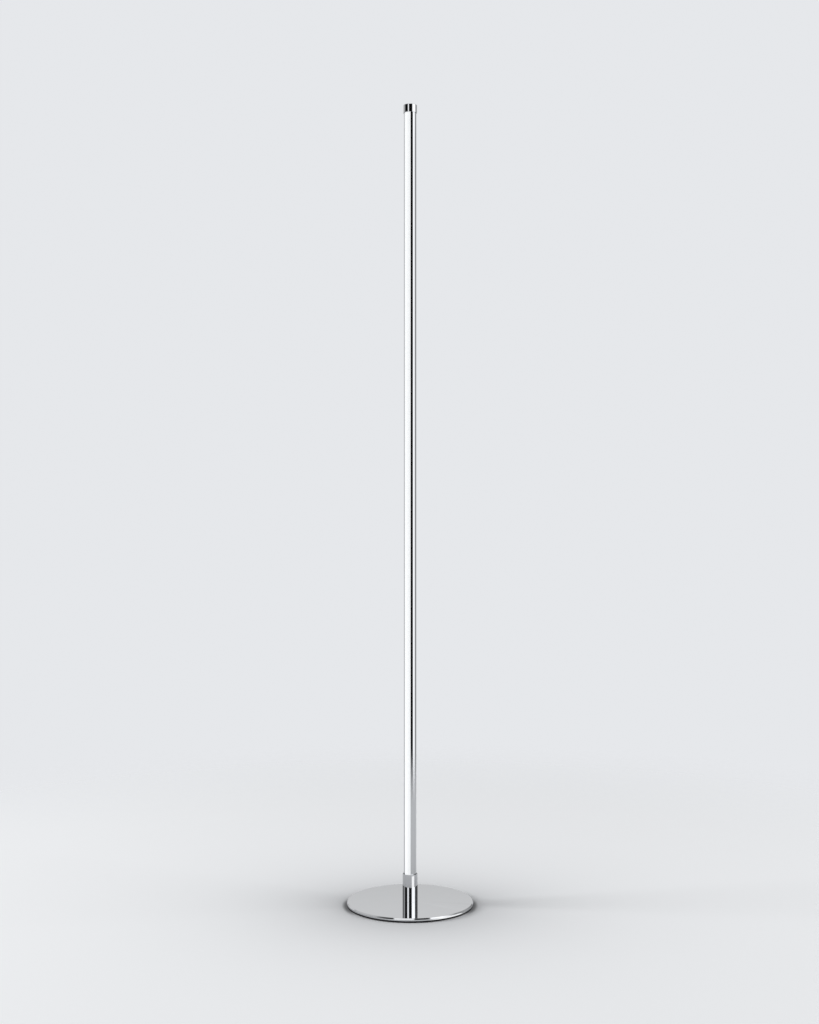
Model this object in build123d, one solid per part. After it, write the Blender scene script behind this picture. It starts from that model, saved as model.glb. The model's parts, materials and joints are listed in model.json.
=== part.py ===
from build123d import *
import math
import os

# Slim LED floor lamp: a slotted light rod that swivels in a socket on a round base plate.
# Millimetres. The floor is z = 0, the rod stands on the Z axis, the light faces -Y
# and the cord enters the socket at the rear, +Y.

# Overall height, floor to the top of the cap
LAMP_HEIGHT = 1500.0

# Floor pad: a foam disc, set in a little from the plate's edge
PAD_THICKNESS = 3.4
PAD_INSET = 0.8
PAD_HOLE_DIAMETER = 32.0

# Base plate
PLATE_DIAMETER = 237.2
PLATE_THICKNESS = 4.6
PLATE_ROUND = 2.2
PLATE_ROUND_STEPS = 2

# Screw from below that pulls the socket down on the plate
BASE_SCREW_DIAMETER = 6.0
BASE_SCREW_HEAD = 12.0
BASE_SCREW_GRIP = 7.5
BASE_SCREW_SOCKET = 4.0
BASE_SCREW_SOCKET_DEPTH = 2.2
SCREW_LAND = 0.3
SCREW_RECESS = 0.2
SCREW_TIP_ROOM = 0.5

# Dowel between plate and socket
PIN_DIAMETER = 4.0
PIN_IN_SOCKET = 4.5
PIN_FLOOR = 1.2

# Light rod: outside size and how it stands in the socket
ROD_DIAMETER = 23.5
ROD_WALL = 1.4
ROD_ENTRY = 8.8
ROD_GAP = 0.3

# Slot, channel and shelf of the extruded profile
SLOT_WIDTH = 11.4
LIP_LAND = 4.5
CHANNEL_DEPTH = 8.0
CHEEK_THICKNESS = 1.2
SHELF_THICKNESS = 1.3
SNAP_RISE = 2.3
SNAP_HEIGHT = 1.3
SNAP_DEPTH = 0.5
PORT_BORE = 2.3
PORT_WALL = 1.1
PORT_MERGE = 0.5
PORT_GAP = 1.1
PORT_GAP_ANGLE = 135.0

# Opal diffuser
DIFFUSER_THICKNESS = 1.3
DIFFUSER_RECESS = 0.1
DIFFUSER_LEG = 0.9
DIFFUSER_FIT = 0.05
DIFFUSER_END_PLAY = 0.3

# Light strip
STRIP_WIDTH = 8.0
STRIP_THICKNESS = 0.3
TAPE_THICKNESS = 0.2
STRIP_START = 7.0
STRIP_END = 4.0
LED_PITCH = 16.667
LED_WIDTH = 2.8
LED_LENGTH = 3.5
LED_HEIGHT = 0.8
LED_FIRST = 9.0
LEDS_PER_CUT = 6
RESISTOR_WIDTH = 1.2
RESISTOR_LENGTH = 2.0
RESISTOR_HEIGHT = 0.5
RESISTOR_OFFSET = 2.6

# Slotted screws through the foot into the profile's ports, their heads sunk in counterbores
PORT_SCREW_HEAD = 4.6
PORT_SCREW_HEAD_HEIGHT = 1.6
PORT_SCREW_LENGTH = 14.0
DRIVE_SLOT_WIDTH = 0.8
DRIVE_SLOT_DEPTH = 0.7

# Cap pressed over the rod's top end
CAP_HEIGHT = 15.0
CAP_WALL = 1.2
CAP_TOP = 2.5

# Socket: a turned cup on the plate
SOCKET_WALL = 1.95
SOCKET_MOUTH_CHAMFER = 0.9
SOCKET_WEB = 0.8

# Swivel: flange and spigot of the foot, bush, stop washer and retaining ring
FLANGE_THICKNESS = 3.2
BUSH_HEIGHT = 12.0
SPIGOT_DIAMETER = 10.0
SPIGOT_TAIL = 1.45
SPIGOT_FLAT = 0.8
STOP_PLAY = 0.3
STOP_THICKNESS = 1.2
STOP_RIM = 1.6
STOP_TAB_REACH = 2.2
STOP_TAB_ANGLE = 20.0
STOP_PEG_ANGLE = 20.0
STOP_PEG_GAP = 0.4
RING_THICKNESS = 1.0
RING_RIM = 1.5
RING_GROOVE = 0.4
RING_OPENING = 50.0
RING_PLAY = 0.05

# Lead on the rod's axis and its two wires
JACKET_DIAMETER = 4.6
JACKET_ROOM = 0.3
JACKET_SETBACK = 1.0
WIRE_DIAMETER = 1.3
WIRE_SPACING = 2.54
WIRE_PAD_LENGTH = 4.0
WIRE_DROP = 4.5
SWIVEL_SPLIT = 0.3
NOTCH_ROOM = 1.3

# Terminal block in the socket
TERMINAL_WIDTH = 11.0
TERMINAL_DEPTH = 8.0
TERMINAL_HEIGHT = 7.0
TERMINAL_CORD_PITCH = 5.5
TERMINAL_WIRE_DEPTH = 3.0
TERMINAL_CORD_HOLE = 2.6
TERMINAL_CORD_DEPTH = 2.0
TERMINAL_EDGE = 0.6
EAR_LENGTH = 4.5
EAR_WIDTH = 6.0
EAR_THICKNESS = 2.0
EAR_SCREW_DIAMETER = 2.4
EAR_SCREW_HEAD = 4.2
EAR_SCREW_HEAD_HEIGHT = 1.5
EAR_SCREW_GRIP = 2.2

# Cord gland in the socket's rear wall
GLAND_BORE = 5.6
GLAND_NECK = 8.6
GLAND_FLANGE = 11.0
GLAND_FLANGE_PROUD = 1.5
GLAND_LIP_INSIDE = 1.6
GLAND_SEAT = 0.4

# Clearances
SEAT_CLEAR = 0.03
RUN_CLEAR = 0.03
KEY_CLEAR = 0.05

# Radii that follow from the rod
rod_r = ROD_DIAMETER / 2
socket_bore_r = rod_r + ROD_GAP
socket_r = socket_bore_r + SOCKET_WALL
cap_bore_r = rod_r + SEAT_CLEAR
cap_r = cap_bore_r + CAP_WALL
bush_r = socket_bore_r - SEAT_CLEAR
spigot_r = SPIGOT_DIAMETER / 2
stop_r = spigot_r + STOP_RIM
tab_r = stop_r + STOP_TAB_REACH

# Heights, from the floor up
z_plate = PAD_THICKNESS
z_plate_top = z_plate + PLATE_THICKNESS
z_thread_end = z_plate_top + BASE_SCREW_GRIP + SCREW_TIP_ROOM
z_socket_floor = z_thread_end + SOCKET_WEB + SCREW_TIP_ROOM + EAR_SCREW_GRIP
z_terminal_top = z_socket_floor + TERMINAL_HEIGHT
z_spigot = z_terminal_top + WIRE_DROP
z_ring = z_spigot + SPIGOT_TAIL
z_stop = z_ring + RING_THICKNESS + RING_PLAY
z_stop_top = z_stop + STOP_THICKNESS
z_bush = z_stop_top + STOP_PLAY
z_bush_top = z_bush + BUSH_HEIGHT
z_rod = z_bush_top + FLANGE_THICKNESS
z_socket_top = z_rod + ROD_ENTRY
z_cap = LAMP_HEIGHT - CAP_HEIGHT
z_rod_top = LAMP_HEIGHT - CAP_TOP
rod_length = z_rod_top - z_rod

# Section of the profile: shelf, snap grooves and screw ports
slot_half = SLOT_WIDTH / 2
y_shelf = -rod_r + CHANNEL_DEPTH
y_shelf_back = y_shelf + SHELF_THICKNESS
y_snap = y_shelf - SNAP_RISE
half_land = math.asin(LIP_LAND / 2 / rod_r)
land_angle = math.asin(slot_half / rod_r) + half_land
port_r = PORT_BORE / 2
port_outer_r = port_r + PORT_WALL
y_port = y_shelf_back + port_outer_r - PORT_MERGE
port_circle_r = rod_r - ROD_WALL - port_outer_r + PORT_MERGE
x_port = math.sqrt(port_circle_r**2 - y_port**2)
port_places = [(-x_port, y_port), (x_port, y_port)]

# Light strip on the shelf
y_strip = y_shelf - TAPE_THICKNESS
y_strip_face = y_strip - STRIP_THICKNESS
z_strip = z_rod + STRIP_START
z_strip_top = z_rod_top - STRIP_END
notch_height = STRIP_START - SCREW_TIP_ROOM
led_count = int((z_strip_top - z_strip - LED_FIRST) / LED_PITCH) + 1
led_heights = [z_strip + LED_FIRST + LED_PITCH * i for i in range(led_count)]


def turned(outline):
    """Solid of revolution about Z from corners given as (radius, height)."""
    corners = [(radius, 0, height) for radius, height in outline]
    return revolve(make_face(Polyline(*corners, close=True)), axis=Axis.Z)


def tube(outer_r, inner_r, z_low, z_high):
    """Plain ring or tube about Z between two heights."""
    return turned([(inner_r, z_low), (outer_r, z_low), (outer_r, z_high), (inner_r, z_high)])


def sector(inner_r, outer_r, middle_angle, width_angle):
    """Flat ring sector about the origin, in the XY plane."""
    reach = 2 * outer_r
    rays = [math.radians(middle_angle + side * width_angle / 2) for side in (-1, 1)]
    corners = [(reach * math.cos(ray), reach * math.sin(ray)) for ray in rays]
    wedge = make_face(Polyline((0, 0), *corners, close=True))
    return (Circle(outer_r) - Circle(inner_r)) & wedge


def standing_box(width, depth, height):
    """Block centred on the Z axis and standing on the XY plane."""
    return Box(width, depth, height, align=(Align.CENTER, Align.CENTER, Align.MIN))


def flat_head(shank, head, land, length):
    """Countersunk screw shape standing on its head at z = 0, its point up."""
    taper = (head - shank) / 2
    rim = [(0, 0), (head / 2, 0), (head / 2, land), (shank / 2, land + taper)]
    return turned(rim + [(shank / 2, length), (0, length)])


def cheese_head(shank, head, head_height, length):
    """Cylinder-head screw shape standing on its head at z = 0, its point up."""
    rim = [(0, 0), (head / 2, 0), (head / 2, head_height), (shank / 2, head_height)]
    return turned(rim + [(shank / 2, length), (0, length)])


def slotted_screw(shank, head, head_height, length):
    """Cheese-head screw with its driver slot, standing on its head."""
    slot = standing_box(head, DRIVE_SLOT_WIDTH, DRIVE_SLOT_DEPTH)
    return cheese_head(shank, head, head_height, length) - slot


def floor_pad():
    pad_r = PLATE_DIAMETER / 2 - PAD_INSET
    return tube(pad_r, PAD_HOLE_DIAMETER / 2, 0, PAD_THICKNESS)


# The plate is a turned disc with a soft upper rim in a few flat steps, countersunk from below
# for the base screw, with a blind hole for the dowel beside the screw's head.
pin_place_r = (BASE_SCREW_HEAD / 2 + socket_bore_r) / 2
pin_in_plate = PLATE_THICKNESS - PIN_FLOOR


def base_plate():
    plate_r = PLATE_DIAMETER / 2
    turns = [math.radians(90 * i / PLATE_ROUND_STEPS) for i in range(PLATE_ROUND_STEPS + 1)]
    bend_r = plate_r - PLATE_ROUND
    bend_z = z_plate_top - PLATE_ROUND
    rim = [(bend_r + PLATE_ROUND * math.cos(a), bend_z + PLATE_ROUND * math.sin(a)) for a in turns]
    plate = turned([(0, z_plate), (plate_r, z_plate), *rim, (0, z_plate_top)])
    shank = BASE_SCREW_DIAMETER + 2 * SEAT_CLEAR
    head = BASE_SCREW_HEAD + 2 * SEAT_CLEAR
    plate -= Pos(0, 0, z_plate) * flat_head(shank, head, SCREW_LAND + SCREW_RECESS, PLATE_THICKNESS)
    pin_r = PIN_DIAMETER / 2 + SEAT_CLEAR
    return plate - Pos(pin_place_r, 0, z_plate_top - pin_in_plate) * extrude(Circle(pin_r), pin_in_plate)


def base_screw():
    length = PLATE_THICKNESS - SCREW_RECESS + BASE_SCREW_GRIP
    screw = flat_head(BASE_SCREW_DIAMETER, BASE_SCREW_HEAD, SCREW_LAND, length)
    hexagon = RegularPolygon(BASE_SCREW_SOCKET / 2, 6, major_radius=False)
    screw -= extrude(hexagon, BASE_SCREW_SOCKET_DEPTH)
    return Pos(0, 0, z_plate + SCREW_RECESS) * screw


def locating_pin():
    length = pin_in_plate + PIN_IN_SOCKET
    return Pos(pin_place_r, 0, z_plate_top - pin_in_plate) * extrude(Circle(PIN_DIAMETER / 2), length)


# Place of the terminal block's fixing ear, in front of its body
y_ear = -(TERMINAL_DEPTH + EAR_LENGTH) / 2


# The gland's axis lies just above the socket's floor, so that its inner lip clears it
z_gland = z_socket_floor + GLAND_SEAT + GLAND_FLANGE / 2


def across_wall(radius, y_from, y_to):
    """Round bar along +Y on the gland's axis."""
    return Pos(0, y_from, z_gland) * Rot(-90, 0, 0) * extrude(Circle(radius), y_to - y_from)


def socket():
    """Turned cup: a thick floor, threaded from below, and a bore that takes the bush and the rod."""
    thread_r = BASE_SCREW_DIAMETER / 2 + SEAT_CLEAR
    cup = turned(
        [
            (thread_r, z_plate_top),
            (socket_r, z_plate_top),
            (socket_r, z_socket_top),
            (socket_bore_r + SOCKET_MOUTH_CHAMFER, z_socket_top),
            (socket_bore_r, z_socket_top - SOCKET_MOUTH_CHAMFER),
            (socket_bore_r, z_socket_floor),
            (0, z_socket_floor),
            (0, z_thread_end),
            (thread_r, z_thread_end),
        ]
    )
    pin_r = PIN_DIAMETER / 2 + SEAT_CLEAR
    cup -= Pos(pin_place_r, 0, z_plate_top) * extrude(Circle(pin_r), PIN_IN_SOCKET + SEAT_CLEAR)
    ear_depth = EAR_SCREW_GRIP + SCREW_TIP_ROOM
    ear_r = EAR_SCREW_DIAMETER / 2 + SEAT_CLEAR
    cup -= Pos(0, y_ear, z_socket_floor - ear_depth) * extrude(Circle(ear_r), ear_depth)
    return cup - across_wall(GLAND_NECK / 2 + SEAT_CLEAR, 0, 2 * socket_r)


def cord_gland():
    """Rubber grommet: a neck in the wall, an outer flange and an inner lip that follow its curve."""
    lip_y = socket_bore_r - GLAND_LIP_INSIDE
    face_y = socket_r + GLAND_FLANGE_PROUD
    height = 2 * GLAND_FLANGE
    z_low = z_gland - GLAND_FLANGE
    outside = Pos(0, 0, z_low) * extrude(Circle(socket_r + SEAT_CLEAR), height)
    inside = Pos(0, 0, z_low) * extrude(Circle(socket_bore_r - SEAT_CLEAR), height)
    flange = across_wall(GLAND_FLANGE / 2, 0, face_y) - outside
    lip = across_wall(GLAND_FLANGE / 2, lip_y, socket_r) & inside
    neck = across_wall(GLAND_NECK / 2, lip_y, face_y)
    return flange + neck + lip - across_wall(GLAND_BORE / 2, 0, 2 * socket_r)


def terminal_block():
    """Two-pole push-in connector: the lead's wires go in from above, the cord's from the rear."""
    body = standing_box(TERMINAL_WIDTH, TERMINAL_DEPTH, TERMINAL_HEIGHT)
    body = chamfer(body.edges().filter_by(Axis.Z), TERMINAL_EDGE)
    body += Pos(0, y_ear) * standing_box(EAR_WIDTH, EAR_LENGTH, EAR_THICKNESS)
    body -= Pos(0, y_ear) * extrude(Circle(EAR_SCREW_DIAMETER / 2 + SEAT_CLEAR), EAR_THICKNESS)
    wire_side = WIRE_DIAMETER + 2 * SEAT_CLEAR
    wire_hole = standing_box(wire_side, wire_side, TERMINAL_WIRE_DEPTH + SEAT_CLEAR)
    cord_hole = Box(TERMINAL_CORD_HOLE, 2 * TERMINAL_CORD_DEPTH, TERMINAL_CORD_HOLE)
    for side in (-1, 1):
        z_hole = TERMINAL_HEIGHT - TERMINAL_WIRE_DEPTH - SEAT_CLEAR
        body -= Pos(side * WIRE_SPACING / 2, 0, z_hole) * wire_hole
        body -= Pos(side * TERMINAL_CORD_PITCH / 2, TERMINAL_DEPTH / 2, TERMINAL_HEIGHT / 2) * cord_hole
    return Pos(0, 0, z_socket_floor) * body


def terminal_screw():
    length = EAR_SCREW_HEAD_HEIGHT + EAR_THICKNESS + EAR_SCREW_GRIP
    screw = slotted_screw(EAR_SCREW_DIAMETER, EAR_SCREW_HEAD, EAR_SCREW_HEAD_HEIGHT, length)
    z_head = z_socket_floor + EAR_THICKNESS + EAR_SCREW_HEAD_HEIGHT
    return Pos(0, y_ear, z_head) * Rot(180, 0, 0) * screw


def terminal_wire(side):
    """From the terminal block straight up to the lead's lower end."""
    z_low = z_terminal_top - TERMINAL_WIRE_DEPTH
    length = z_spigot - SWIVEL_SPLIT - z_low
    return Pos(side * WIRE_SPACING / 2, 0, z_low) * extrude(Circle(WIRE_DIAMETER / 2), length)


def swivel_bush():
    """Plastic bearing in the socket; the stop peg hangs from its lower face, at the rear."""
    bush = tube(bush_r, spigot_r + RUN_CLEAR, z_bush, z_bush_top)
    peg_drop = STOP_PLAY + STOP_THICKNESS
    peg = extrude(sector(stop_r + STOP_PEG_GAP, tab_r, 90, STOP_PEG_ANGLE), peg_drop)
    return bush + Pos(0, 0, z_bush - peg_drop) * peg


def keyed_circle(radius):
    """Round section with the spigot's flat on its rear side."""
    flat_y = radius - SPIGOT_FLAT
    return Circle(radius) & Pos(0, flat_y - radius) * Rectangle(2 * radius, 2 * radius)


def rod_foot():
    """Flange that rests on the bush and spigot that turns in it, bored for the lead."""
    bore_r = JACKET_DIAMETER / 2 + JACKET_ROOM
    groove_r = spigot_r - RING_GROOVE
    foot = turned(
        [
            (bore_r, z_spigot),
            (spigot_r, z_spigot),
            (spigot_r, z_ring - RING_PLAY),
            (groove_r, z_ring - RING_PLAY),
            (groove_r, z_stop),
            (spigot_r, z_stop),
            (spigot_r, z_bush_top),
            (rod_r, z_bush_top),
            (rod_r, z_rod),
            (bore_r, z_rod),
        ]
    )
    key_length = z_stop_top - z_spigot
    foot -= Pos(0, 0, z_spigot) * extrude(Circle(spigot_r) - keyed_circle(spigot_r), key_length)
    shank = PORT_BORE + 2 * SEAT_CLEAR
    head = PORT_SCREW_HEAD + 2 * SEAT_CLEAR
    hole = cheese_head(shank, head, SCREW_RECESS + PORT_SCREW_HEAD_HEIGHT, FLANGE_THICKNESS)
    for x, y in port_places:
        foot -= Pos(x, y, z_bush_top) * hole
    return foot


def foot_screws():
    shank = PORT_BORE - 2 * SEAT_CLEAR
    screw = slotted_screw(shank, PORT_SCREW_HEAD, PORT_SCREW_HEAD_HEIGHT, PORT_SCREW_LENGTH)
    return [Pos(x, y, z_bush_top + SCREW_RECESS) * screw for x, y in port_places]


def stop_washer():
    """Washer keyed to the spigot; its tab points forward and meets the bush's peg near each limit."""
    keyed_hole = keyed_circle(spigot_r + KEY_CLEAR)
    ring = Circle(stop_r) - keyed_hole
    tab = sector(spigot_r + STOP_RIM / 2, tab_r, -90, STOP_TAB_ANGLE)
    return Pos(0, 0, z_stop) * extrude(ring + tab, STOP_THICKNESS)


def retaining_ring():
    """Spring ring in the spigot's groove, open at the front."""
    inner_r = spigot_r - RING_GROOVE + KEY_CLEAR
    outer_r = spigot_r + RING_RIM
    ring = Circle(outer_r) - Circle(inner_r) - sector(inner_r / 2, 2 * outer_r, -90, RING_OPENING)
    return Pos(0, 0, z_ring) * extrude(ring, RING_THICKNESS)


def lead_jacket():
    length = z_rod - JACKET_SETBACK - z_spigot
    return Pos(0, 0, z_spigot) * extrude(Circle(JACKET_DIAMETER / 2), length)


def strip_wire(side):
    """From the lead, forward through the shelf's notch and up onto the strip's solder pad."""
    x = side * WIRE_SPACING / 2
    y_pad = y_strip_face - WIRE_DIAMETER / 2 - SEAT_CLEAR
    z_start = z_rod - JACKET_SETBACK
    z_leave = z_rod + WIRE_DIAMETER
    z_meet = z_rod + notch_height - WIRE_DIAMETER / 2
    z_end = z_strip + WIRE_PAD_LENGTH
    route = Polyline((x, 0, z_start), (x, 0, z_leave), (x, y_pad, z_meet), (x, y_pad, z_end))
    section = Pos(x, 0, z_start) * Circle(WIRE_DIAMETER / 2)
    return sweep(section, path=route, transition=Transition.RIGHT)


def profile_section():
    """Slotted ring with a flat land beside each lip, light shelf, channel cheeks and two open screw ports."""
    body = Circle(rod_r)
    ring = body - Circle(rod_r - ROD_WALL)
    core = Circle(rod_r - ROD_WALL / 2)
    shelf = Pos(0, y_shelf + SHELF_THICKNESS / 2) * Rectangle(ROD_DIAMETER, SHELF_THICKNESS)
    section = ring + (shelf & core)
    cheek_height = rod_r + y_shelf
    for side in (-1, 1):
        cheek = Pos(side * (slot_half + CHEEK_THICKNESS / 2), y_shelf - cheek_height / 2)
        section += cheek * Rectangle(CHEEK_THICKNESS, cheek_height) & core
    corner = Rectangle(rod_r - x_port, y_port - y_shelf_back)
    for x, y in port_places:
        section += Pos(x, y) * Circle(port_outer_r) & core
        section += Pos(math.copysign((x_port + rod_r) / 2, x), (y_shelf_back + y_port) / 2) * corner & core
    section -= Pos(0, y_shelf - rod_r) * Rectangle(SLOT_WIDTH, 2 * rod_r)
    beyond_land = Pos(0, -rod_r * math.cos(half_land) - ROD_WALL / 2) * Rectangle(2 * LIP_LAND, ROD_WALL)
    for side in (-1, 1):
        section -= Pos(side * slot_half, y_snap) * Rectangle(2 * SNAP_DEPTH, SNAP_HEIGHT)
        section -= Rot(0, 0, side * math.degrees(land_angle)) * beyond_land
    mouth = Pos(port_outer_r, 0) * Rectangle(2 * port_outer_r, PORT_GAP)
    for x, y in port_places:
        gap_angle = PORT_GAP_ANGLE if x > 0 else 180 - PORT_GAP_ANGLE
        section -= Pos(x, y) * Circle(port_r)
        section -= Pos(x, y) * Rot(0, 0, gap_angle) * mouth
    return section


def light_profile():
    profile = Pos(0, 0, z_rod) * extrude(profile_section(), rod_length)
    notch_width = WIRE_SPACING + WIRE_DIAMETER + 2 * NOTCH_ROOM
    notch_y = y_shelf + SHELF_THICKNESS / 2
    return profile - Pos(0, notch_y, z_rod) * standing_box(notch_width, 2 * SHELF_THICKNESS, notch_height)


def diffuser():
    """Opal strip: a curved face flush with the rod and two legs that snap into the cheeks."""
    face_r = rod_r - DIFFUSER_RECESS
    half = slot_half - DIFFUSER_FIT
    inner_r = face_r - DIFFUSER_THICKNESS
    band = Circle(face_r) - Circle(inner_r)
    section = band & Pos(0, -rod_r) * Rectangle(2 * half, 2 * rod_r)
    leg_x = half - DIFFUSER_LEG / 2
    leg_front = -math.sqrt((face_r - DIFFUSER_THICKNESS / 2) ** 2 - half**2)
    leg_back = y_snap + SNAP_HEIGHT / 2
    barb_reach = SNAP_DEPTH - DIFFUSER_FIT
    barb_front = y_snap - SNAP_HEIGHT / 2 + DIFFUSER_FIT
    barb_back = leg_back - DIFFUSER_FIT
    for side in (-1, 1):
        leg = Pos(side * leg_x, (leg_front + leg_back) / 2)
        section += leg * Rectangle(DIFFUSER_LEG, leg_back - leg_front)
        root = side * half
        barb = [(root, barb_front), (root + side * barb_reach, barb_front), (root, barb_back)]
        section += make_face(Polyline(*barb, close=True))
    length = rod_length - 2 * DIFFUSER_END_PLAY
    return Pos(0, 0, z_rod + DIFFUSER_END_PLAY) * extrude(section, length)


def on_shelf(width, y_back, thickness, z_low, z_high):
    """Flat piece in the channel whose rear face lies at y_back."""
    block = Box(width, thickness, z_high - z_low, align=(Align.CENTER, Align.MAX, Align.MIN))
    return Pos(0, y_back, z_low) * block


def strip_tape():
    return on_shelf(STRIP_WIDTH, y_shelf, TAPE_THICKNESS, z_strip, z_strip_top)


def led_strip():
    return on_shelf(STRIP_WIDTH, y_strip, STRIP_THICKNESS, z_strip, z_strip_top)


def led_chips():
    half = LED_LENGTH / 2
    return [on_shelf(LED_WIDTH, y_strip_face, LED_HEIGHT, z - half, z + half) for z in led_heights]


def strip_resistors():
    """One beside the middle of each cut length of the strip."""
    half = RESISTOR_LENGTH / 2
    first = LEDS_PER_CUT // 2
    middles = [z - LED_PITCH / 2 for z in led_heights[first::LEDS_PER_CUT]]
    across = Pos(RESISTOR_OFFSET, 0, 0)
    return [
        across * on_shelf(RESISTOR_WIDTH, y_strip_face, RESISTOR_HEIGHT, z - half, z + half) for z in middles
    ]


def top_cap():
    """Polished cup pressed over the rod's top end."""
    return turned(
        [
            (cap_bore_r, z_cap),
            (cap_r, z_cap),
            (cap_r, LAMP_HEIGHT),
            (0, LAMP_HEIGHT),
            (0, LAMP_HEIGHT - CAP_TOP),
            (cap_bore_r, LAMP_HEIGHT - CAP_TOP),
        ]
    )


nodes = {
    "floor_pad": floor_pad(),
    "base_plate": base_plate(),
    "base_screw": base_screw(),
    "locating_pin": locating_pin(),
    "socket": socket(),
    "cord_gland": cord_gland(),
    "terminal_block": terminal_block(),
    "terminal_screw": terminal_screw(),
    "terminal_wire_red": terminal_wire(-1),
    "terminal_wire_black": terminal_wire(1),
    "swivel_bush": swivel_bush(),
    "rod_foot": rod_foot(),
    "foot_screws": foot_screws(),
    "stop_washer": stop_washer(),
    "retaining_ring": retaining_ring(),
    "lead_jacket": lead_jacket(),
    "strip_wire_red": strip_wire(-1),
    "strip_wire_black": strip_wire(1),
    "light_profile": light_profile(),
    "diffuser": diffuser(),
    "strip_tape": strip_tape(),
    "led_strip": led_strip(),
    "led_chips": led_chips(),
    "strip_resistors": strip_resistors(),
    "top_cap": top_cap(),
}

os.makedirs("parts", exist_ok=True)
for name, shape in nodes.items():
    solids = shape if isinstance(shape, list) else [shape]
    pieces = [solid for piece in solids for solid in piece.solids()]
    export_step(pieces[0] if len(pieces) == 1 else Compound(pieces), f"parts/{name}.step")
    print(f"{name}: {len(pieces)} solid(s)")
print(f"socket {z_socket_top - z_plate_top:.2f} high, rod {rod_length:.2f} long, {led_count} light sources")
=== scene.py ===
# %% [markdown]
# # A slim LED floor lamp
# One chromed upright rod with a lit opal strip stands in a short socket on a thin,
# mirror-finished round plate. The engineering model already holds every piece at its real
# size. This notebook dresses it: it redraws the pieces that the eye rests on with smooth
# walls and softly broken edges, gives each piece its finish, and sets up the studio.

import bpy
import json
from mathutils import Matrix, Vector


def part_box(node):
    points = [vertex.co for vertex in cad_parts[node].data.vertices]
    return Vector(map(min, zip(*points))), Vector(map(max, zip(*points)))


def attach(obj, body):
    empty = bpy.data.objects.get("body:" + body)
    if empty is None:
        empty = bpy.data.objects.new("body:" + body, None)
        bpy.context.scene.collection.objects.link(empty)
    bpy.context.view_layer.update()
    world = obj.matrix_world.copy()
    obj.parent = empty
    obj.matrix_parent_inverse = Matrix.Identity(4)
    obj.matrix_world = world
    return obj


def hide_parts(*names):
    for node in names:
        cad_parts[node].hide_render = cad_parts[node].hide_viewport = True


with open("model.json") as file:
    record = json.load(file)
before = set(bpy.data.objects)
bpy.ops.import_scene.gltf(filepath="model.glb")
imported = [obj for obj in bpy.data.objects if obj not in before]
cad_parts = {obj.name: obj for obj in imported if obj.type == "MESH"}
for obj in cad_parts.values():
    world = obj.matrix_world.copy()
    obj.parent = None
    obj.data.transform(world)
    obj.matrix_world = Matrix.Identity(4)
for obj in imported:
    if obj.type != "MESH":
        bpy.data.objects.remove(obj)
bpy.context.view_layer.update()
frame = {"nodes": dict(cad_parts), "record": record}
print("pieces loaded:", len(frame["nodes"]))

# %% [markdown]
# Everything here is in metres, while lamp makers think in millimetres. One small constant
# keeps the numbers readable: a wall of `1.4 * MM` says what it is.

# %% Units and modules
import json
import math

import bmesh
import bpy
from mathutils import Vector

MM = 0.001
scene = bpy.context.scene

# %% [markdown]
# ## The camera
# The photograph has parallel verticals, so the camera was level. The horizon lies at mid
# frame and the base is seen from a little over 15 degrees above. The ellipse of the plate
# gives the distance and the lens. The opal strip faces to the camera's left, so the camera
# stands 25 degrees round from the front.

# %% Camera
IMAGE_HEIGHT = 1024
FOCAL_PIXELS = 1401
SENSOR_HEIGHT = 36
CAMERA_TURN = math.radians(25)
CAMERA_DISTANCE = 2.629
CAMERA_HEIGHT = 0.7369
CAMERA_SIDESTEP = -0.0011

toward_camera = Vector((math.sin(CAMERA_TURN), -math.cos(CAMERA_TURN), 0))
camera_right = Vector((math.cos(CAMERA_TURN), math.sin(CAMERA_TURN), 0))

lens = bpy.data.cameras.new("photo_camera")
lens.sensor_fit = "VERTICAL"
lens.sensor_height = SENSOR_HEIGHT
lens.lens = SENSOR_HEIGHT * FOCAL_PIXELS / IMAGE_HEIGHT
camera = bpy.data.objects.new("photo_camera", lens)
camera.location = toward_camera * CAMERA_DISTANCE + camera_right * CAMERA_SIDESTEP
camera.location.z = CAMERA_HEIGHT
camera.rotation_euler = (math.pi / 2, 0, CAMERA_TURN)
scene.collection.objects.link(camera)
scene.camera = camera
print("focal length in mm:", round(lens.lens, 2))

# %% [markdown]
# ## Helpers for node trees
# Shaders and Geometry Nodes are both trees of nodes. `add` puts one node in a tree, and each
# named input gets either a plain value or a wire from another node's output. Four small rules
# come back often: arithmetic, how far a vector points along an axis, a soft step from one
# value to another, and a mixture of two colours or two shaders. The Mix node has sockets for
# several kinds of data, so its colour sockets are named by their places.

# %% Node helpers
def feed(tree, socket, value):
    """Wires another node's output into a socket, or sets the socket to a plain value."""
    if isinstance(value, bpy.types.NodeSocket):
        tree.links.new(value, socket)
    else:
        socket.default_value = value


def connect(tree, node, **inputs):
    """Feeds a node's inputs by name."""
    for name, value in inputs.items():
        feed(tree, node.inputs[name.replace("_", " ")], value)


def add(tree, kind, settings=None, **inputs):
    """Puts a node in a tree, with its settings and its named inputs."""
    node = tree.nodes.new(kind)
    for name, value in (settings or {}).items():
        setattr(node, name, value)
    connect(tree, node, **inputs)
    return node


print("node helpers ready")

# %% Rules that come back
MIX_FIRST = 6
MIX_SECOND = 7
MIX_RESULT = 2


def maths(tree, operation, *values, clamp=False):
    """Works out one number from others."""
    node = add(tree, "ShaderNodeMath", {"operation": operation, "use_clamp": clamp})
    for socket, value in zip(node.inputs, values):
        feed(tree, socket, value)
    return node.outputs[0]


def along_axis(tree, vector, axis):
    """How far a vector reaches along an axis."""
    dot = add(tree, "ShaderNodeVectorMath", {"operation": "DOT_PRODUCT"})
    feed(tree, dot.inputs[0], vector)
    feed(tree, dot.inputs[1], axis)
    return dot.outputs["Value"]


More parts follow.
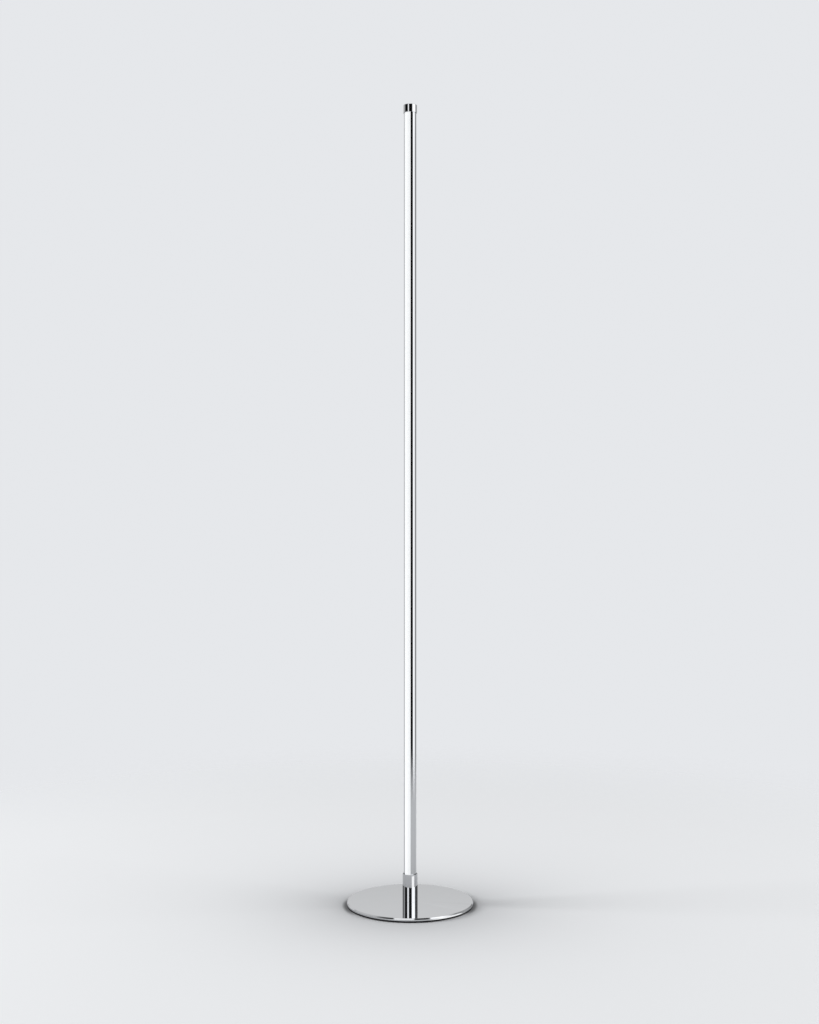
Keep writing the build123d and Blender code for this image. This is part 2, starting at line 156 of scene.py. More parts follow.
def eased(tree, value, low, high, first=0.0, last=1.0):
    """Soft step: first up to low, last from high on."""
    span = {"From_Min": low, "From_Max": high, "To_Min": first, "To_Max": last}
    step = add(tree, "ShaderNodeMapRange", {"interpolation_type": "SMOOTHSTEP"}, Value=value, **span)
    return step.outputs[0]


def mixed(tree, factor, first, second):
    """Colour between two others, by a factor from 0 to 1."""
    mix = add(tree, "ShaderNodeMix", {"data_type": "RGBA"}, Factor=factor)
    feed(tree, mix.inputs[MIX_FIRST], first)
    feed(tree, mix.inputs[MIX_SECOND], second)
    return mix.outputs[MIX_RESULT]


def blended(tree, factor, first, second):
    """Shader between two others, by a factor from 0 to 1."""
    mix = add(tree, "ShaderNodeMixShader", Fac=factor)
    feed(tree, mix.inputs[1], first)
    feed(tree, mix.inputs[2], second)
    return mix.outputs[0]


print("rules ready")

# %% [markdown]
# ## The studio
# Polished chrome has hardly any colour of its own: it shows the room. In the photograph the
# rod reflects tall dark flags, a narrow light strip and one large softbox, and the plate
# reflects the pale backdrop. Building all of these as objects would clutter the set, so the
# world holds them, as rings of light and dark round the compass that only mirror rays see:
# one at eye level, one above it and one overhead, below a plain ceiling. A fourth ring is for
# rays that rise from a second mirror, such as the socket's foot seen in the plate. Each ring
# lists its stretches as (from, to, level), and neighbours blend in the gap between them.
# Angles are counted in degrees from the camera, to its right.

# %% Rings of the studio
EYE_LEVEL_RING = [
    (-180, -166, 0.885),  # backdrop
    (-150, -150, 0.72),
    (-137, -127, 1.06),  # pale wall on the left
    (-120, -94, 0.58),
    (-85, -38, 0.006),  # left flag
    (-35, -20.6, 1.55),  # light strip
    (-17.6, 34, 0.006),  # right flag
    (44.5, 95, 1.92),  # softbox
    (99, 99, 0.48),
    (128, 128, 0.54),  # grey wall on the right
    (150, 150, 0.36),
    (166, 180, 0.885),  # backdrop
]
UPPER_RING = [
    (-180, -180, 0.86),
    (-122, -76, 0.80),
    (-62, -36, 0.20),
    (-32, 6, 1.40),
    (10, 38, 0.20),
    (41, 68, 2.00),
    (98, 98, 0.42),
    (180, 180, 0.86),
]
OVERHEAD_RING = [
    (-180, -112, 0.60),
    (-75, -75, 0.50),
    (-65, -38, 0.05),
    (-34, 8, 1.45),
    (11, 43, 0.05),
    (46, 62, 1.75),
    (92, 92, 0.30),
    (180, 180, 0.60),
]
SECOND_RING = [
    (-180, -180, 0.25),
    (-118, -118, 0.30),
    (-106, -92, 0.76),
    (-84, -45, 0.02),
    (-41, -20, 2.20),
    (-17, 25, 0.02),
    (29, 79, 2.90),
    (82, 82, 0.17),
    (130, 130, 0.16),
    (150, 180, 0.05),
]
print("stretches in the ring at eye level:", len(EYE_LEVEL_RING))

# %% [markdown]
# The world is one shader. It works out the compass angle of a ray, for the place on a ring,
# and the height of its direction, where 0 is the horizon and 1 is straight up. One ring gives
# way to the next over a short range of height.

# %% Ring of light
RING_TINT = (0.985, 0.993, 1)

world = bpy.data.worlds.new("studio")
world.use_nodes = True
scene.world = world
sky = world.node_tree
sky.nodes.clear()

ray = add(sky, "ShaderNodeTexCoord").outputs["Generated"]
height = add(sky, "ShaderNodeSeparateXYZ", Vector=ray).outputs["Z"]
to_the_right = along_axis(sky, ray, camera_right)
compass = maths(sky, "ARCTAN2", to_the_right, along_axis(sky, ray, toward_camera))
turn = add(sky, "ShaderNodeMapRange", Value=compass, From_Min=-math.pi, From_Max=math.pi)


def ring(stretches):
    """Colour ramp round the compass, from stretches of (from, to, level)."""
    ramp = add(sky, "ShaderNodeValToRGB", Fac=turn.outputs[0])
    stops = ramp.color_ramp.elements
    while len(stops) > 1:
        stops.remove(stops[-1])
    levels = [(angle, level) for start, end, level in stretches for angle in sorted({start, end})]
    for number, (angle, level) in enumerate(levels):
        place = (angle + 180) / 360
        stop = stops[0] if number == 0 else stops.new(place)
        stop.position = place
        stop.color = (*(level * part for part in RING_TINT), 1)
    return ramp.outputs["Color"]


print("world nodes so far:", len(sky.nodes))

# %% [markdown]
# The camera sees none of the rings, only a plain pale backdrop, and matt surfaces get an even
# fill light. Low down the mirrored room is a little dimmer.

# %% World
BACKDROP = (0.79, 0.805, 0.83, 1)
FILL_COLOUR = (0.98, 0.99, 1, 1)
FILL_STRENGTH = 0.44
CEILING = (0.45, 0.45, 0.45, 1)
TO_UPPER = (0.30, 0.37)
TO_OVERHEAD = (0.66, 0.74)
TO_CEILING = (0.93, 0.98)
RISING = (0.0, 0.1)
TO_BRIGHTER = (0.25, 0.283)
LOW_LEVEL = 0.89
MORE_THAN_ONCE = 1.5

studio = mixed(sky, eased(sky, height, *TO_UPPER), ring(EYE_LEVEL_RING), ring(UPPER_RING))
studio = mixed(sky, eased(sky, height, *TO_OVERHEAD), studio, ring(OVERHEAD_RING))
studio = mixed(sky, eased(sky, height, *TO_CEILING), studio, CEILING)

path = add(sky, "ShaderNodeLightPath").outputs
mirrored_twice = maths(sky, "GREATER_THAN", path["Glossy Depth"], MORE_THAN_ONCE)
rises_again = maths(sky, "MULTIPLY", mirrored_twice, eased(sky, height, *RISING))
studio = mixed(sky, rises_again, studio, ring(SECOND_RING))
brightness = eased(sky, height, *TO_BRIGHTER, LOW_LEVEL, 1.0)

fill_light = add(sky, "ShaderNodeBackground", Color=FILL_COLOUR, Strength=FILL_STRENGTH).outputs[0]
backdrop = add(sky, "ShaderNodeBackground", Color=BACKDROP).outputs[0]
mirror_room = add(sky, "ShaderNodeBackground", Color=studio, Strength=brightness).outputs[0]
lit = blended(sky, path["Is Glossy Ray"], fill_light, mirror_room)
seen = maths(sky, "MAXIMUM", path["Is Camera Ray"], path["Is Transmission Ray"])
add(sky, "ShaderNodeOutputWorld", Surface=blended(sky, seen, lit, backdrop))
print("world nodes:", len(sky.nodes))

# %% [markdown]
# The floor is a plain pale disc. It is drawn as a bmesh, Blender's bench for building a mesh
# by hand, and a small helper turns such a drawing into an object.

# %% Floor
FLOOR_RADIUS = 3.0
FLOOR_STEPS = 96


def object_of(name, shape):
    """Makes a scene object of a drawn shape and clears the drawing."""
    mesh = bpy.data.meshes.new(name)
    shape.to_mesh(mesh)
    shape.free()
    made = bpy.data.objects.new(name, mesh)
    scene.collection.objects.link(made)
    return made


shape = bmesh.new()
bmesh.ops.create_circle(shape, cap_ends=True, segments=FLOOR_STEPS, radius=FLOOR_RADIUS)
floor = object_of("floor", shape)
print("floor corners:", len(floor.data.vertices))

# %% [markdown]
# A hard horizon would show in the mirror and in the picture, so the floor melts into the
# backdrop with distance: a radial mask mixes the matt paint with a clear shader. Near the lamp
# it stays solid and takes the shadow. The floor paint also carries a painted shadow round the
# base: it is darker there and gets lighter along an exponential curve, and this painted shadow
# is weaker behind the lamp. Close to the rim, at the plate's left and right ends, a narrow dark
# contact shadow is painted as well.

# %% Floor paint
FLOOR_PAINT = (0.91, 0.92, 0.935, 1)
FLOOR_SOLID = 0.85
FLOOR_GONE = 1.85
# Painted shade round the lamp's base: its colour, where it starts, how far it reaches, and how strong it is
# behind the lamp.
PAINTED_SHADE_COLOUR = (0.60, 0.607, 0.62, 1)
PAINTED_SHADE_START = 0.119
PAINTED_SHADE_REACH = 0.13
PAINTED_SHADE_BEHIND = 0.75
BEHIND_TO_BESIDE = (-1.0, -0.2)
# Painted contact shadow at the plate's left and right ends: its colour, strength and extent.
PAINTED_CONTACT_SHADOW = (0, 0, 0, 1)
CONTACT_SHADE = 0.62
CONTACT_FADE = (0.1206, 0.1295)
CONTACT_SIDES = (0.78, 0.97)
CONTACT_FRONT = (-0.42, -0.08)


def empty_material(name):
    """Material with an empty tree; gives the material and the tree."""
    material = bpy.data.materials.new(name)
    material.use_nodes = True
    material.node_tree.nodes.clear()
    return material, material.node_tree


floor_finish, tree = empty_material("studio_floor")
point = add(tree, "ShaderNodeTexCoord").outputs["Object"]
length = add(tree, "ShaderNodeVectorMath", {"operation": "LENGTH"})
feed(tree, length.inputs[0], point)
distance = length.outputs["Value"]
outward = add(tree, "ShaderNodeVectorMath", {"operation": "NORMALIZE"})
feed(tree, outward.inputs[0], point)
forward = along_axis(tree, outward.outputs[0], toward_camera)
sideways = maths(tree, "ABSOLUTE", along_axis(tree, outward.outputs[0], camera_right))

# Painted shade: the floor colour darkens towards the base along an exponential curve, and less so behind
# the lamp.
span = {"From_Min": PAINTED_SHADE_START, "From_Max": PAINTED_SHADE_START + PAINTED_SHADE_REACH, "To_Max": -1.0}
decay = add(tree, "ShaderNodeMapRange", {"clamp": False}, Value=distance, **span)
painted_shade = maths(tree, "EXPONENT", decay.outputs[0], clamp=True)
painted_shade = maths(tree, "MULTIPLY", painted_shade, eased(tree, forward, *BEHIND_TO_BESIDE, PAINTED_SHADE_BEHIND, 1.0))
colour = mixed(tree, painted_shade, FLOOR_PAINT, PAINTED_SHADE_COLOUR)

# Painted contact shadow: black mixed into the floor close to the rim, at the plate's left and right ends.
ends = maths(tree, "MULTIPLY", eased(tree, sideways, *CONTACT_SIDES), eased(tree, forward, *CONTACT_FRONT))
painted_contact_shadow = maths(tree, "MULTIPLY", eased(tree, distance, *CONTACT_FADE, CONTACT_SHADE, 0.0), ends)
colour = mixed(tree, painted_contact_shadow, colour, PAINTED_CONTACT_SHADOW)

matt = add(tree, "ShaderNodeBsdfDiffuse", Color=colour).outputs[0]
clear = add(tree, "ShaderNodeBsdfTransparent").outputs[0]
melted = blended(tree, eased(tree, distance, FLOOR_SOLID, FLOOR_GONE), matt, clear)
add(tree, "ShaderNodeOutputMaterial", Surface=melted)
floor.data.materials.append(floor_finish)
print("floor solid to", FLOOR_SOLID, "m, gone at", FLOOR_GONE, "m")

# %% [markdown]
# The upper half of the socket looks down at the floor, so it would be plain grey. In the
# photograph one white stripe runs through it: a photographer gets that from a white card on
# the floor beside the base. The card here is a flat ring sector that only mirror rays see.

# %% Bounce card
CARD_NEAR = 0.1195
CARD_FAR = 0.232
CARD_FROM = 25
CARD_TO = 64
CARD_LIFT = 0.0002
CARD_GLOW = 1.6
CARD_STEPS = 12

shape = bmesh.new()
lift = Vector((0, 0, CARD_LIFT))
rungs = []
for step in range(CARD_STEPS + 1):
    angle = math.radians(CARD_FROM + (CARD_TO - CARD_FROM) * step / CARD_STEPS)
    away = camera_right * math.sin(angle) + toward_camera * math.cos(angle)
    rungs.append([shape.verts.new(away * reach + lift) for reach in (CARD_NEAR, CARD_FAR)])
for (near, far), (next_near, next_far) in zip(rungs, rungs[1:]):
    shape.faces.new((near, far, next_far, next_near))
card = object_of("bounce_card", shape)
card.visible_camera = False
card.visible_diffuse = False
card.visible_shadow = False

card_finish, tree = empty_material("bounce_card")
glow = add(tree, "ShaderNodeEmission", Strength=CARD_GLOW)
add(tree, "ShaderNodeOutputMaterial", Surface=glow.outputs[0])
card.data.materials.append(card_finish)
print("card faces:", len(card.data.polygons))

# %% [markdown]
# Two soft lamps make the shadows: the stronger one stands low on the left and draws the thin
# streak to the right of the base, the other fills from the right. They are hidden from
# mirror rays, because the world already shows the softboxes there. Each is listed with its
# place to the right, to the front and up, the width of its disc, and its power.

# %% Lamps
LAMPS = {
    "left_softbox": (-6.0, 0.3, 2.3, 2.2, 280.0),
    "right_softbox": (6.0, 0.8, 2.7, 4.4, 240.0),
}
AIM = Vector((0, 0, 0.1))

for name, (right, front, up, size, power) in LAMPS.items():
    light = bpy.data.lights.new(name, "AREA")
    light.shape = "DISK"
    light.size = size
    light.energy = power
    lamp = bpy.data.objects.new(name, light)
    lamp.location = camera_right * right + toward_camera * front + Vector((0, 0, up))
    lamp.rotation_euler = (AIM - lamp.location).to_track_quat("-Z", "Y").to_euler()
    lamp.visible_glossy = False
    lamp.visible_camera = False
    scene.collection.objects.link(lamp)
print("lamps:", ", ".join(LAMPS))

# %% [markdown]
# ## Finishes
# Every finish starts from one Principled shader. Its colour or roughness varies a little over
# the surface, and on all but the chrome a fine bump breaks the highlights. The textures are
# laid out in the piece's own object space, so nothing slides when the lamp turns.

# %% Finish helpers
GRAIN_ROUGHNESS = 0.55
GRAIN_RANGE = {"From_Min": 0.3, "From_Max": 0.7}


def new_finish(name, **constants):
    """Material with one Principled surface; gives the material, its tree and the surface."""
    material = bpy.data.materials.new(name)
    material.use_nodes = True
    surface = material.node_tree.nodes["Principled BSDF"]
    connect(material.node_tree, surface, **constants)
    return material, material.node_tree, surface


def grain(tree, scale, detail=4.0, stretch=(1, 1, 1)):
    """Noise in object space, stretched where a tool has drawn the surface out."""
    point = add(tree, "ShaderNodeTexCoord").outputs["Object"]
    laid = add(tree, "ShaderNodeMapping", Vector=point, Scale=stretch).outputs[0]
    look = {"Scale": scale, "Detail": detail, "Roughness": GRAIN_ROUGHNESS}
    return add(tree, "ShaderNodeTexNoise", Vector=laid, **look).outputs["Fac"]


def spread(tree, value, low, high):
    """Rescales a grain's value to lie between two levels."""
    return add(tree, "ShaderNodeMapRange", Value=value, To_Min=low, To_Max=high, **GRAIN_RANGE).outputs[0]


def tint(tree, value, first, second):
    """Mixes two plain colours by a texture's value."""
    return mixed(tree, value, (*first, 1), (*second, 1))


def relief(tree, surface, value, strength, depth):
    """Bump from a texture's value, with its real depth in millimetres."""
    bump = add(tree, "ShaderNodeBump", Strength=strength, Distance=depth * MM, Height=value)
    connect(tree, surface, Normal=bump.outputs[0])


finishes = {}
print("finish helpers ready")

# %% [markdown]
# **Polished chrome.** Chrome plate reflects a little over half of the light that meets it
# squarely, and more at a glancing angle, which is why the plate looks lighter than the rod. A
# perfect mirror looks false, so a broad cloud of noise lifts the roughness by a hair where
# the buffing wheel left a haze. There is no bump: on a true mirror even a shallow one breaks
# the long reflections into dashes. Each chromed finish has the haze's scale and its lowest and
# highest roughness.

# %% Chrome
CHROME_CLEAR = (0.560, 0.566, 0.578)
CHROME_HAZY = (0.540, 0.547, 0.560)
HAZE_DETAIL = 5.0
CHROMED = {
    "polished_chrome": (35, 0.018, 0.04),
    "chromed_profile": (12, 0.02, 0.045),
}

for name, (scale, clearest, haziest) in CHROMED.items():
    material, tree, surface = new_finish(name, Metallic=1.0)
    haze = grain(tree, scale, HAZE_DETAIL)
    colour = tint(tree, haze, CHROME_CLEAR, CHROME_HAZY)
    connect(tree, surface, Base_Color=colour, Roughness=spread(tree, haze, clearest, haziest))
    finishes[name] = material
print("chrome finishes:", ", ".join(finishes))

# %% [markdown]
# **Opal strip.** The diffuser is milky plastic lit from behind by the light strip, so it
# glows evenly, with only a faint cloudiness in the milk. Its own glow and the room's light on
# it add up to just about full white, and the plastic keeps a soft gloss on top.

# %% Opal
OPAL_GLOW = 0.58
MILK_SCALE = 220
MILK_DETAIL = 3.0
MILK_BODY = ((0.50, 0.51, 0.52), (0.46, 0.47, 0.48))
MILK_LIGHT = ((0.985, 0.995, 1.0), (0.955, 0.975, 0.99))
OPAL_SKIN_SCALE = 1500

material, tree, surface = new_finish("opal_diffuser", Roughness=0.38, IOR=1.49, Emission_Strength=OPAL_GLOW)
milk = grain(tree, MILK_SCALE, MILK_DETAIL)
glow = tint(tree, milk, *MILK_LIGHT)
connect(tree, surface, Base_Color=tint(tree, milk, *MILK_BODY), Emission_Color=glow)
relief(tree, surface, grain(tree, OPAL_SKIN_SCALE), strength=0.05, depth=0.02)
finishes["opal_diffuser"] = material
print("opal strip glows at", OPAL_GLOW)

# %% [markdown]
# **Foam.** Closed-cell foam shows small bubbles, so its bump and colour come from Voronoi
# cells of the bubbles' size.

# %% Foam
FOAM_CELL = 0.9
FOAM_DARK = (0.010, 0.010, 0.011)
FOAM_LIGHT = (0.035, 0.035, 0.037)

material, tree, surface = new_finish("black_foam", Roughness=0.92, Specular_IOR_Level=0.25)
point = add(tree, "ShaderNodeTexCoord").outputs["Object"]
cells = add(tree, "ShaderNodeTexVoronoi", Vector=point, Scale=1 / (FOAM_CELL * MM)).outputs["Distance"]
connect(tree, surface, Base_Color=tint(tree, cells, FOAM_DARK, FOAM_LIGHT))
relief(tree, surface, cells, strength=0.6, depth=0.15)
finishes["black_foam"] = material
print("foam cell in mm:", FOAM_CELL)

# %% [markdown]
# **Rubber and plastics.** Moulded pieces have a finer, softer grain, which they share but for
# their numbers: two colours, the roughness, the scale of the pores and their depth in
# millimetres.

# %% Rubber and plastics
SKIN_DETAIL = 5.0
SKIN_VARIES = 0.06
SKIN_BUMP = 0.25
MOULDED = {
    "black_rubber": ((0.014, 0.014, 0.015), (0.026, 0.026, 0.027), 0.55, 900, 0.05),
    "lead_jacket": ((0.018, 0.018, 0.019), (0.034, 0.034, 0.035), 0.5, 700, 0.04),
    "white_nylon": ((0.80, 0.80, 0.77), (0.88, 0.88, 0.85), 0.45, 500, 0.03),
    "wire_red": ((0.42, 0.018, 0.014), (0.55, 0.03, 0.02), 0.34, 600, 0.02),
    "wire_black": ((0.012, 0.012, 0.013), (0.024, 0.024, 0.026), 0.34, 600, 0.02),
    "resistor_black": ((0.015, 0.015, 0.016), (0.04, 0.04, 0.042), 0.4, 1800, 0.01),
    "clear_tape": ((0.70, 0.68, 0.60), (0.78, 0.76, 0.68), 0.3, 300, 0.02),
    "led_phosphor": ((0.90, 0.74, 0.20), (0.95, 0.82, 0.32), 0.4, 2500, 0.02),
    "led_case": ((0.88, 0.88, 0.86), (0.93, 0.93, 0.91), 0.4, 2000, 0.01),
}

for name, (first, second, roughness, pores, depth) in MOULDED.items():
    material, tree, surface = new_finish(name)
    skin = grain(tree, pores, SKIN_DETAIL)
    sheen = spread(tree, skin, roughness - SKIN_VARIES, roughness + SKIN_VARIES)
    connect(tree, surface, Base_Color=tint(tree, skin, first, second), Roughness=sheen)
    relief(tree, surface, skin, SKIN_BUMP, depth)
    finishes[name] = material
print("moulded finishes:", len(MOULDED))

# %% [markdown]
# **Bare metals.** Turned pieces carry fine rings from the lathe. Noise that is fine along Z
# and drawn out across it gives such rings on every upright face without any mapping of the
# surface. Spring steel is darker and duller than the others. Each metal has two colours, for
# a slight cloudiness, the roughness and the scale of the rings.

# %% Bare metals
LATHE_STRETCH = (0.05, 0.05, 1)
LATHE_DETAIL = 3.0
CLOUD_SCALE = 260
METAL_VARIES = 0.08
METALS = {
    "plated_steel": ((0.52, 0.53, 0.55), (0.62, 0.62, 0.62), 0.32, 2500),
    "spring_steel": ((0.10, 0.10, 0.11), (0.17, 0.17, 0.18), 0.42, 2500),
    "turned_aluminium": ((0.68, 0.68, 0.69), (0.76, 0.76, 0.77), 0.3, 4000),
}

for name, (first, second, roughness, scale) in METALS.items():
    material, tree, surface = new_finish(name, Metallic=1.0)
    lathe = grain(tree, scale, LATHE_DETAIL, LATHE_STRETCH)
    colour = tint(tree, grain(tree, CLOUD_SCALE), first, second)
    sheen = spread(tree, lathe, roughness - METAL_VARIES, roughness + METAL_VARIES)
    connect(tree, surface, Base_Color=colour, Roughness=sheen)
    relief(tree, surface, lathe, strength=0.2, depth=0.02)
    finishes[name] = material
print("bare metals:", ", ".join(METALS))

# %% [markdown]
# **Light strip.** The flexible circuit is white, with bare copper pads wherever it may be
# cut. The pads repeat along its length, so a wave of the height sets them out.

# %% Light strip finish
CUT_LENGTH = 100 * MM
PAD_SHARE = 0.05
MASK_WHITE = (0.86, 0.86, 0.84)
PAD_COPPER = (0.65, 0.33, 0.18)
STRIP_SKIN_SCALE = 800

material, tree, surface = new_finish("strip_white", Roughness=0.35)
point = add(tree, "ShaderNodeTexCoord").outputs["Object"]
up_strip = add(tree, "ShaderNodeSeparateXYZ", Vector=point).outputs["Z"]
from_cut = maths(tree, "PINGPONG", up_strip, CUT_LENGTH / 2)
pad = maths(tree, "LESS_THAN", from_cut, CUT_LENGTH / 2 * PAD_SHARE)
connect(tree, surface, Base_Color=tint(tree, pad, MASK_WHITE, PAD_COPPER))
relief(tree, surface, grain(tree, STRIP_SKIN_SCALE), strength=0.1, depth=0.02)
finishes["strip_white"] = material
print("finishes in all:", len(finishes))

# %% [markdown]
# The pieces that keep their engineering mesh only change their finish. The record says
# which finish each one has.

# %% Dress the carried-over pieces
slot_of = {row["node"]: row["material_slot"] for row in frame["record"]["subparts"]}
for name, node in frame["nodes"].items():
    node.material_slots[0].material = finishes[slot_of[name]]
print("dressed:", len(slot_of))

# %% [markdown]
# ## Turned pieces
# The plate, the socket, the cap, the pad and the grommet are all turned about one axis. A
# Screw modifier could spin them, but a node tree states the rule once: take a drawn half
# section, round its corners, and sweep it round a circle. Each corner's own rounding is
# stored as the radius of its point on the drawn curve.

# %% Draw a section
def drawn_curve(name, loops, cyclic):
    """Flat curve object from loops of (x, y, rounding) in millimetres."""
    curve = bpy.data.curves.new(name, "CURVE")
    for loop in loops:
        spline = curve.splines.new("POLY")
        spline.points.add(len(loop) - 1)
        for point, (x, y, rounding) in zip(spline.points, loop):
            point.co = (x * MM, y * MM, 0, 1)
            point.radius = rounding * MM
        spline.use_cyclic_u = cyclic
    drawing = bpy.data.objects.new(name, curve)
    scene.collection.objects.link(drawing)
    return drawing


print("drawing helper ready")

# %% [markdown]
# Three trees follow, and they share how they start and end. Each has named inputs and ends in
# plain mesh with its finish. The two that work from a section round its corners first and
# close the seams last.

# %% Start and end of a tree
SEAM_GAP = 0.0005
CRISP_ANGLE = math.radians(32)


def new_tree(name, inputs):
    """Geometry tree with named inputs; gives the tree, its input sockets and their identifiers."""
    tree = bpy.data.node_groups.new(name, "GeometryNodeTree")
    identifiers = {}
    for label, kind in inputs.items():
        socket = tree.interface.new_socket(name=label, in_out="INPUT", socket_type="NodeSocket" + kind)
        identifiers[label] = socket.identifier
    tree.interface.new_socket(name="Piece", in_out="OUTPUT", socket_type="NodeSocketGeometry")
    return tree, tree.nodes.new("NodeGroupInput").outputs, identifiers


def rounded_section(tree, given):
    """Takes in the drawn section and rounds each corner by its own radius."""
    section = add(tree, "GeometryNodeObjectInfo", Object=given["Section"]).outputs["Geometry"]
    rounding = add(tree, "GeometryNodeInputRadius").outputs[0]
    corners = {"Count": given["Round Steps"], "Radius": rounding, "Limit_Radius": True}
    return add(tree, "GeometryNodeFilletCurve", {"mode": "POLY"}, Curve=section, **corners).outputs[0]


def shaded(tree, mesh):
    """Closes the seams, smooths the faces and keeps the corners crisp."""
    closed = add(tree, "GeometryNodeMergeByDistance", Geometry=mesh, Distance=SEAM_GAP * MM)
    smooth = add(tree, "GeometryNodeSetShadeSmooth", Geometry=closed.outputs[0], Shade_Smooth=True)
    angle = add(tree, "GeometryNodeInputMeshEdgeAngle").outputs["Unsigned Angle"]
    sharp = add(tree, "FunctionNodeCompare", {"operation": "GREATER_THAN"}, A=angle, B=CRISP_ANGLE)
    corners = {"Geometry": smooth.outputs[0], "Selection": sharp.outputs[0], "Shade_Smooth": False}
    return add(tree, "GeometryNodeSetShadeSmooth", {"domain": "EDGE"}, **corners).outputs[0]


def end_tree(tree, geometry, finish):
    """Ends a tree in plain mesh with its finish."""
    real = add(tree, "GeometryNodeRealizeInstances", Geometry=geometry)
    done = add(tree, "GeometryNodeSetMaterial", Geometry=real.outputs[0], Material=finish)
    tree.links.new(done.outputs[0], tree.nodes.new("NodeGroupOutput").inputs["Piece"])


print("tree helpers ready")

# %% [markdown]
# The turning tree sweeps the section round a small circle. The section is moved in by the
# circle's radius, so that its own radii count from the axis.

# %% Turning tree
SWEEP_RADIUS = 10 * MM

turning, given, turning_ids = new_tree(
    "turned_piece",
    {"Section": "Object", "Steps Around": "Int", "Round Steps": "Int", "Finish": "Material"},
)
section = rounded_section(turning, given)
inward = (-SWEEP_RADIUS, 0, 0)
moved = add(turning, "GeometryNodeTransform", Geometry=section, Translation=inward).outputs[0]
round_trip = {"Resolution": given["Steps Around"], "Radius": SWEEP_RADIUS}
circle = add(turning, "GeometryNodeCurvePrimitiveCircle", **round_trip).outputs[0]
swept = add(turning, "GeometryNodeCurveToMesh", Curve=circle, Profile_Curve=moved).outputs[0]
end_tree(turning, shaded(turning, swept), given["Finish"])
print("turning tree nodes:", len(turning.nodes))

# %% [markdown]
# A modifier only shows the result of a tree. To hand over a plain mesh, the evaluated object
# is copied into new mesh data. A weighted-normal pass first makes the large flat faces and
# straight walls keep their own direction, because a mirror shows every bent normal. The
# signed volume tells whether the faces point outwards.

# %% Turn a tree into a mesh
def settle(piece):
    """Gives a piece the mesh that its modifiers make, and clears them."""
    bpy.context.view_layer.update()
    made = piece.evaluated_get(bpy.context.evaluated_depsgraph_get())
    mesh = bpy.data.meshes.new_from_object(made)
    piece.modifiers.clear()
    piece.data = mesh
    mesh.name = piece.name


def plain_mesh(name, tree, identifiers, values, source):
    """Piece made by a tree from these values; the object it starts from is cleared."""
    piece = bpy.data.objects.new(name, bpy.data.meshes.new(name + "_blank"))
    scene.collection.objects.link(piece)
    maker = piece.modifiers.new("maker", "NODES")
    maker.node_group = tree
    for label, value in values.items():
        maker[identifiers[label]] = value
    keep = piece.modifiers.new("flat faces", "WEIGHTED_NORMAL")
    keep.keep_sharp = True
    settle(piece)
    bpy.data.objects.remove(source)
    return piece


def measure(piece):
    """Prints a piece's faces, volume and open edges."""
    shape = bmesh.new()
    shape.from_mesh(piece.data)
    volume = shape.calc_volume(signed=True) / MM**3
    open_edges = sum(1 for edge in shape.edges if len(edge.link_faces) != 2)
    shape.free()
    print(f"{piece.name}: {len(piece.data.polygons)} faces, {volume:.0f} mm3, {open_edges} open edges")


print("mesh helpers ready")

# %% [markdown]
# Sizes come from the engineering pieces' own boxes wherever a box shows them. The rest are
# named beside each piece, in millimetres.

# %% Turned piece from its outline
def turned(name, outline, finish, cyclic=False, around=192, steps=6):
    """Turned piece from its half section, corners given as (radius, height, rounding)."""
    corners = [(radius, -height, rounding) for radius, height, rounding in reversed(outline)]
    drawing = drawn_curve(name + "_section", [corners], cyclic)
    values = {"Section": drawing, "Steps Around": around, "Round Steps": steps, "Finish": finishes[finish]}
    return plain_mesh(name, turning, turning_ids, values, drawing)


def in_mm(node):
    """Lowest and highest corner of an engineering piece, in millimetres."""
    low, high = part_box(node)
    return low / MM, high / MM


print("turning helpers ready")

# %% [markdown]
# **Base plate.** A disc of steel, turned, chromed and polished. Its wall leans in very
# slightly and ends in a small bevel with soft edges. The bevel catches the bright and dark
# beads along the rim in the photograph, and the wall below it shows the pale floor.
# Underneath, a countersink takes the screw that holds the socket.

# %% Base plate
WALL_HEIGHT = 2.3
WALL_DRAFT = 0.31
WALL_FOOT_ROUND = 0.3
BEVEL_RUN = 1.5
BEVEL_SOFT = 0.8
TOP_SOFT = 0.5
SCREW_HOLE = 3.03
SCREW_HEAD_HOLE = 6.03
SCREW_LAND = 0.5
FINE_BREAK = 0.1

low, high = in_mm("base_plate")
wall_top = high.x - WALL_DRAFT
countersink = low.z + SCREW_LAND + SCREW_HEAD_HOLE - SCREW_HOLE
plate = turned(
    "base_disc",
    [
        (SCREW_HOLE, high.z, 0),
        (SCREW_HOLE, countersink, 0),
        (SCREW_HEAD_HOLE, low.z + SCREW_LAND, 0),
        (SCREW_HEAD_HOLE, low.z, FINE_BREAK),
        (high.x, low.z, WALL_FOOT_ROUND),
        (wall_top, low.z + WALL_HEIGHT, BEVEL_SOFT),
        (wall_top - BEVEL_RUN, high.z, TOP_SOFT),
    ],
    "polished_chrome",
    cyclic=True,
    around=360,
    steps=8,
)
measure(plate)

# %% [markdown]
# **Floor pad.** A ring of black foam under the plate, almost as wide as the plate itself. It
# is the dark line all round below the rim.

# %% Floor pad
PAD_HOLE = 16.0
PAD_ROUND = 0.5

low, high = in_mm("floor_pad")
pad_ring = turned(
    "foam_pad",
    [
        (PAD_HOLE, high.z, FINE_BREAK),
        (PAD_HOLE, low.z, PAD_ROUND),
        (high.x, low.z, PAD_ROUND),
        (high.x, high.z, FINE_BREAK),
    ],
    "black_foam",
    cyclic=True,
    around=240,
    steps=4,
)
measure(pad_ring)

# %% [markdown]
# **Socket.** A cup turned from solid bar: a thick floor with the screw's thread, and a bore
# that takes the bearing and the rod. Its mouth is chamfered and the outer lip just broken,
# which gives the thin bright line at the top of the socket. An extra ring of points splits
# the walls, so that drilling the lower part leaves the faces of the upper part alone.

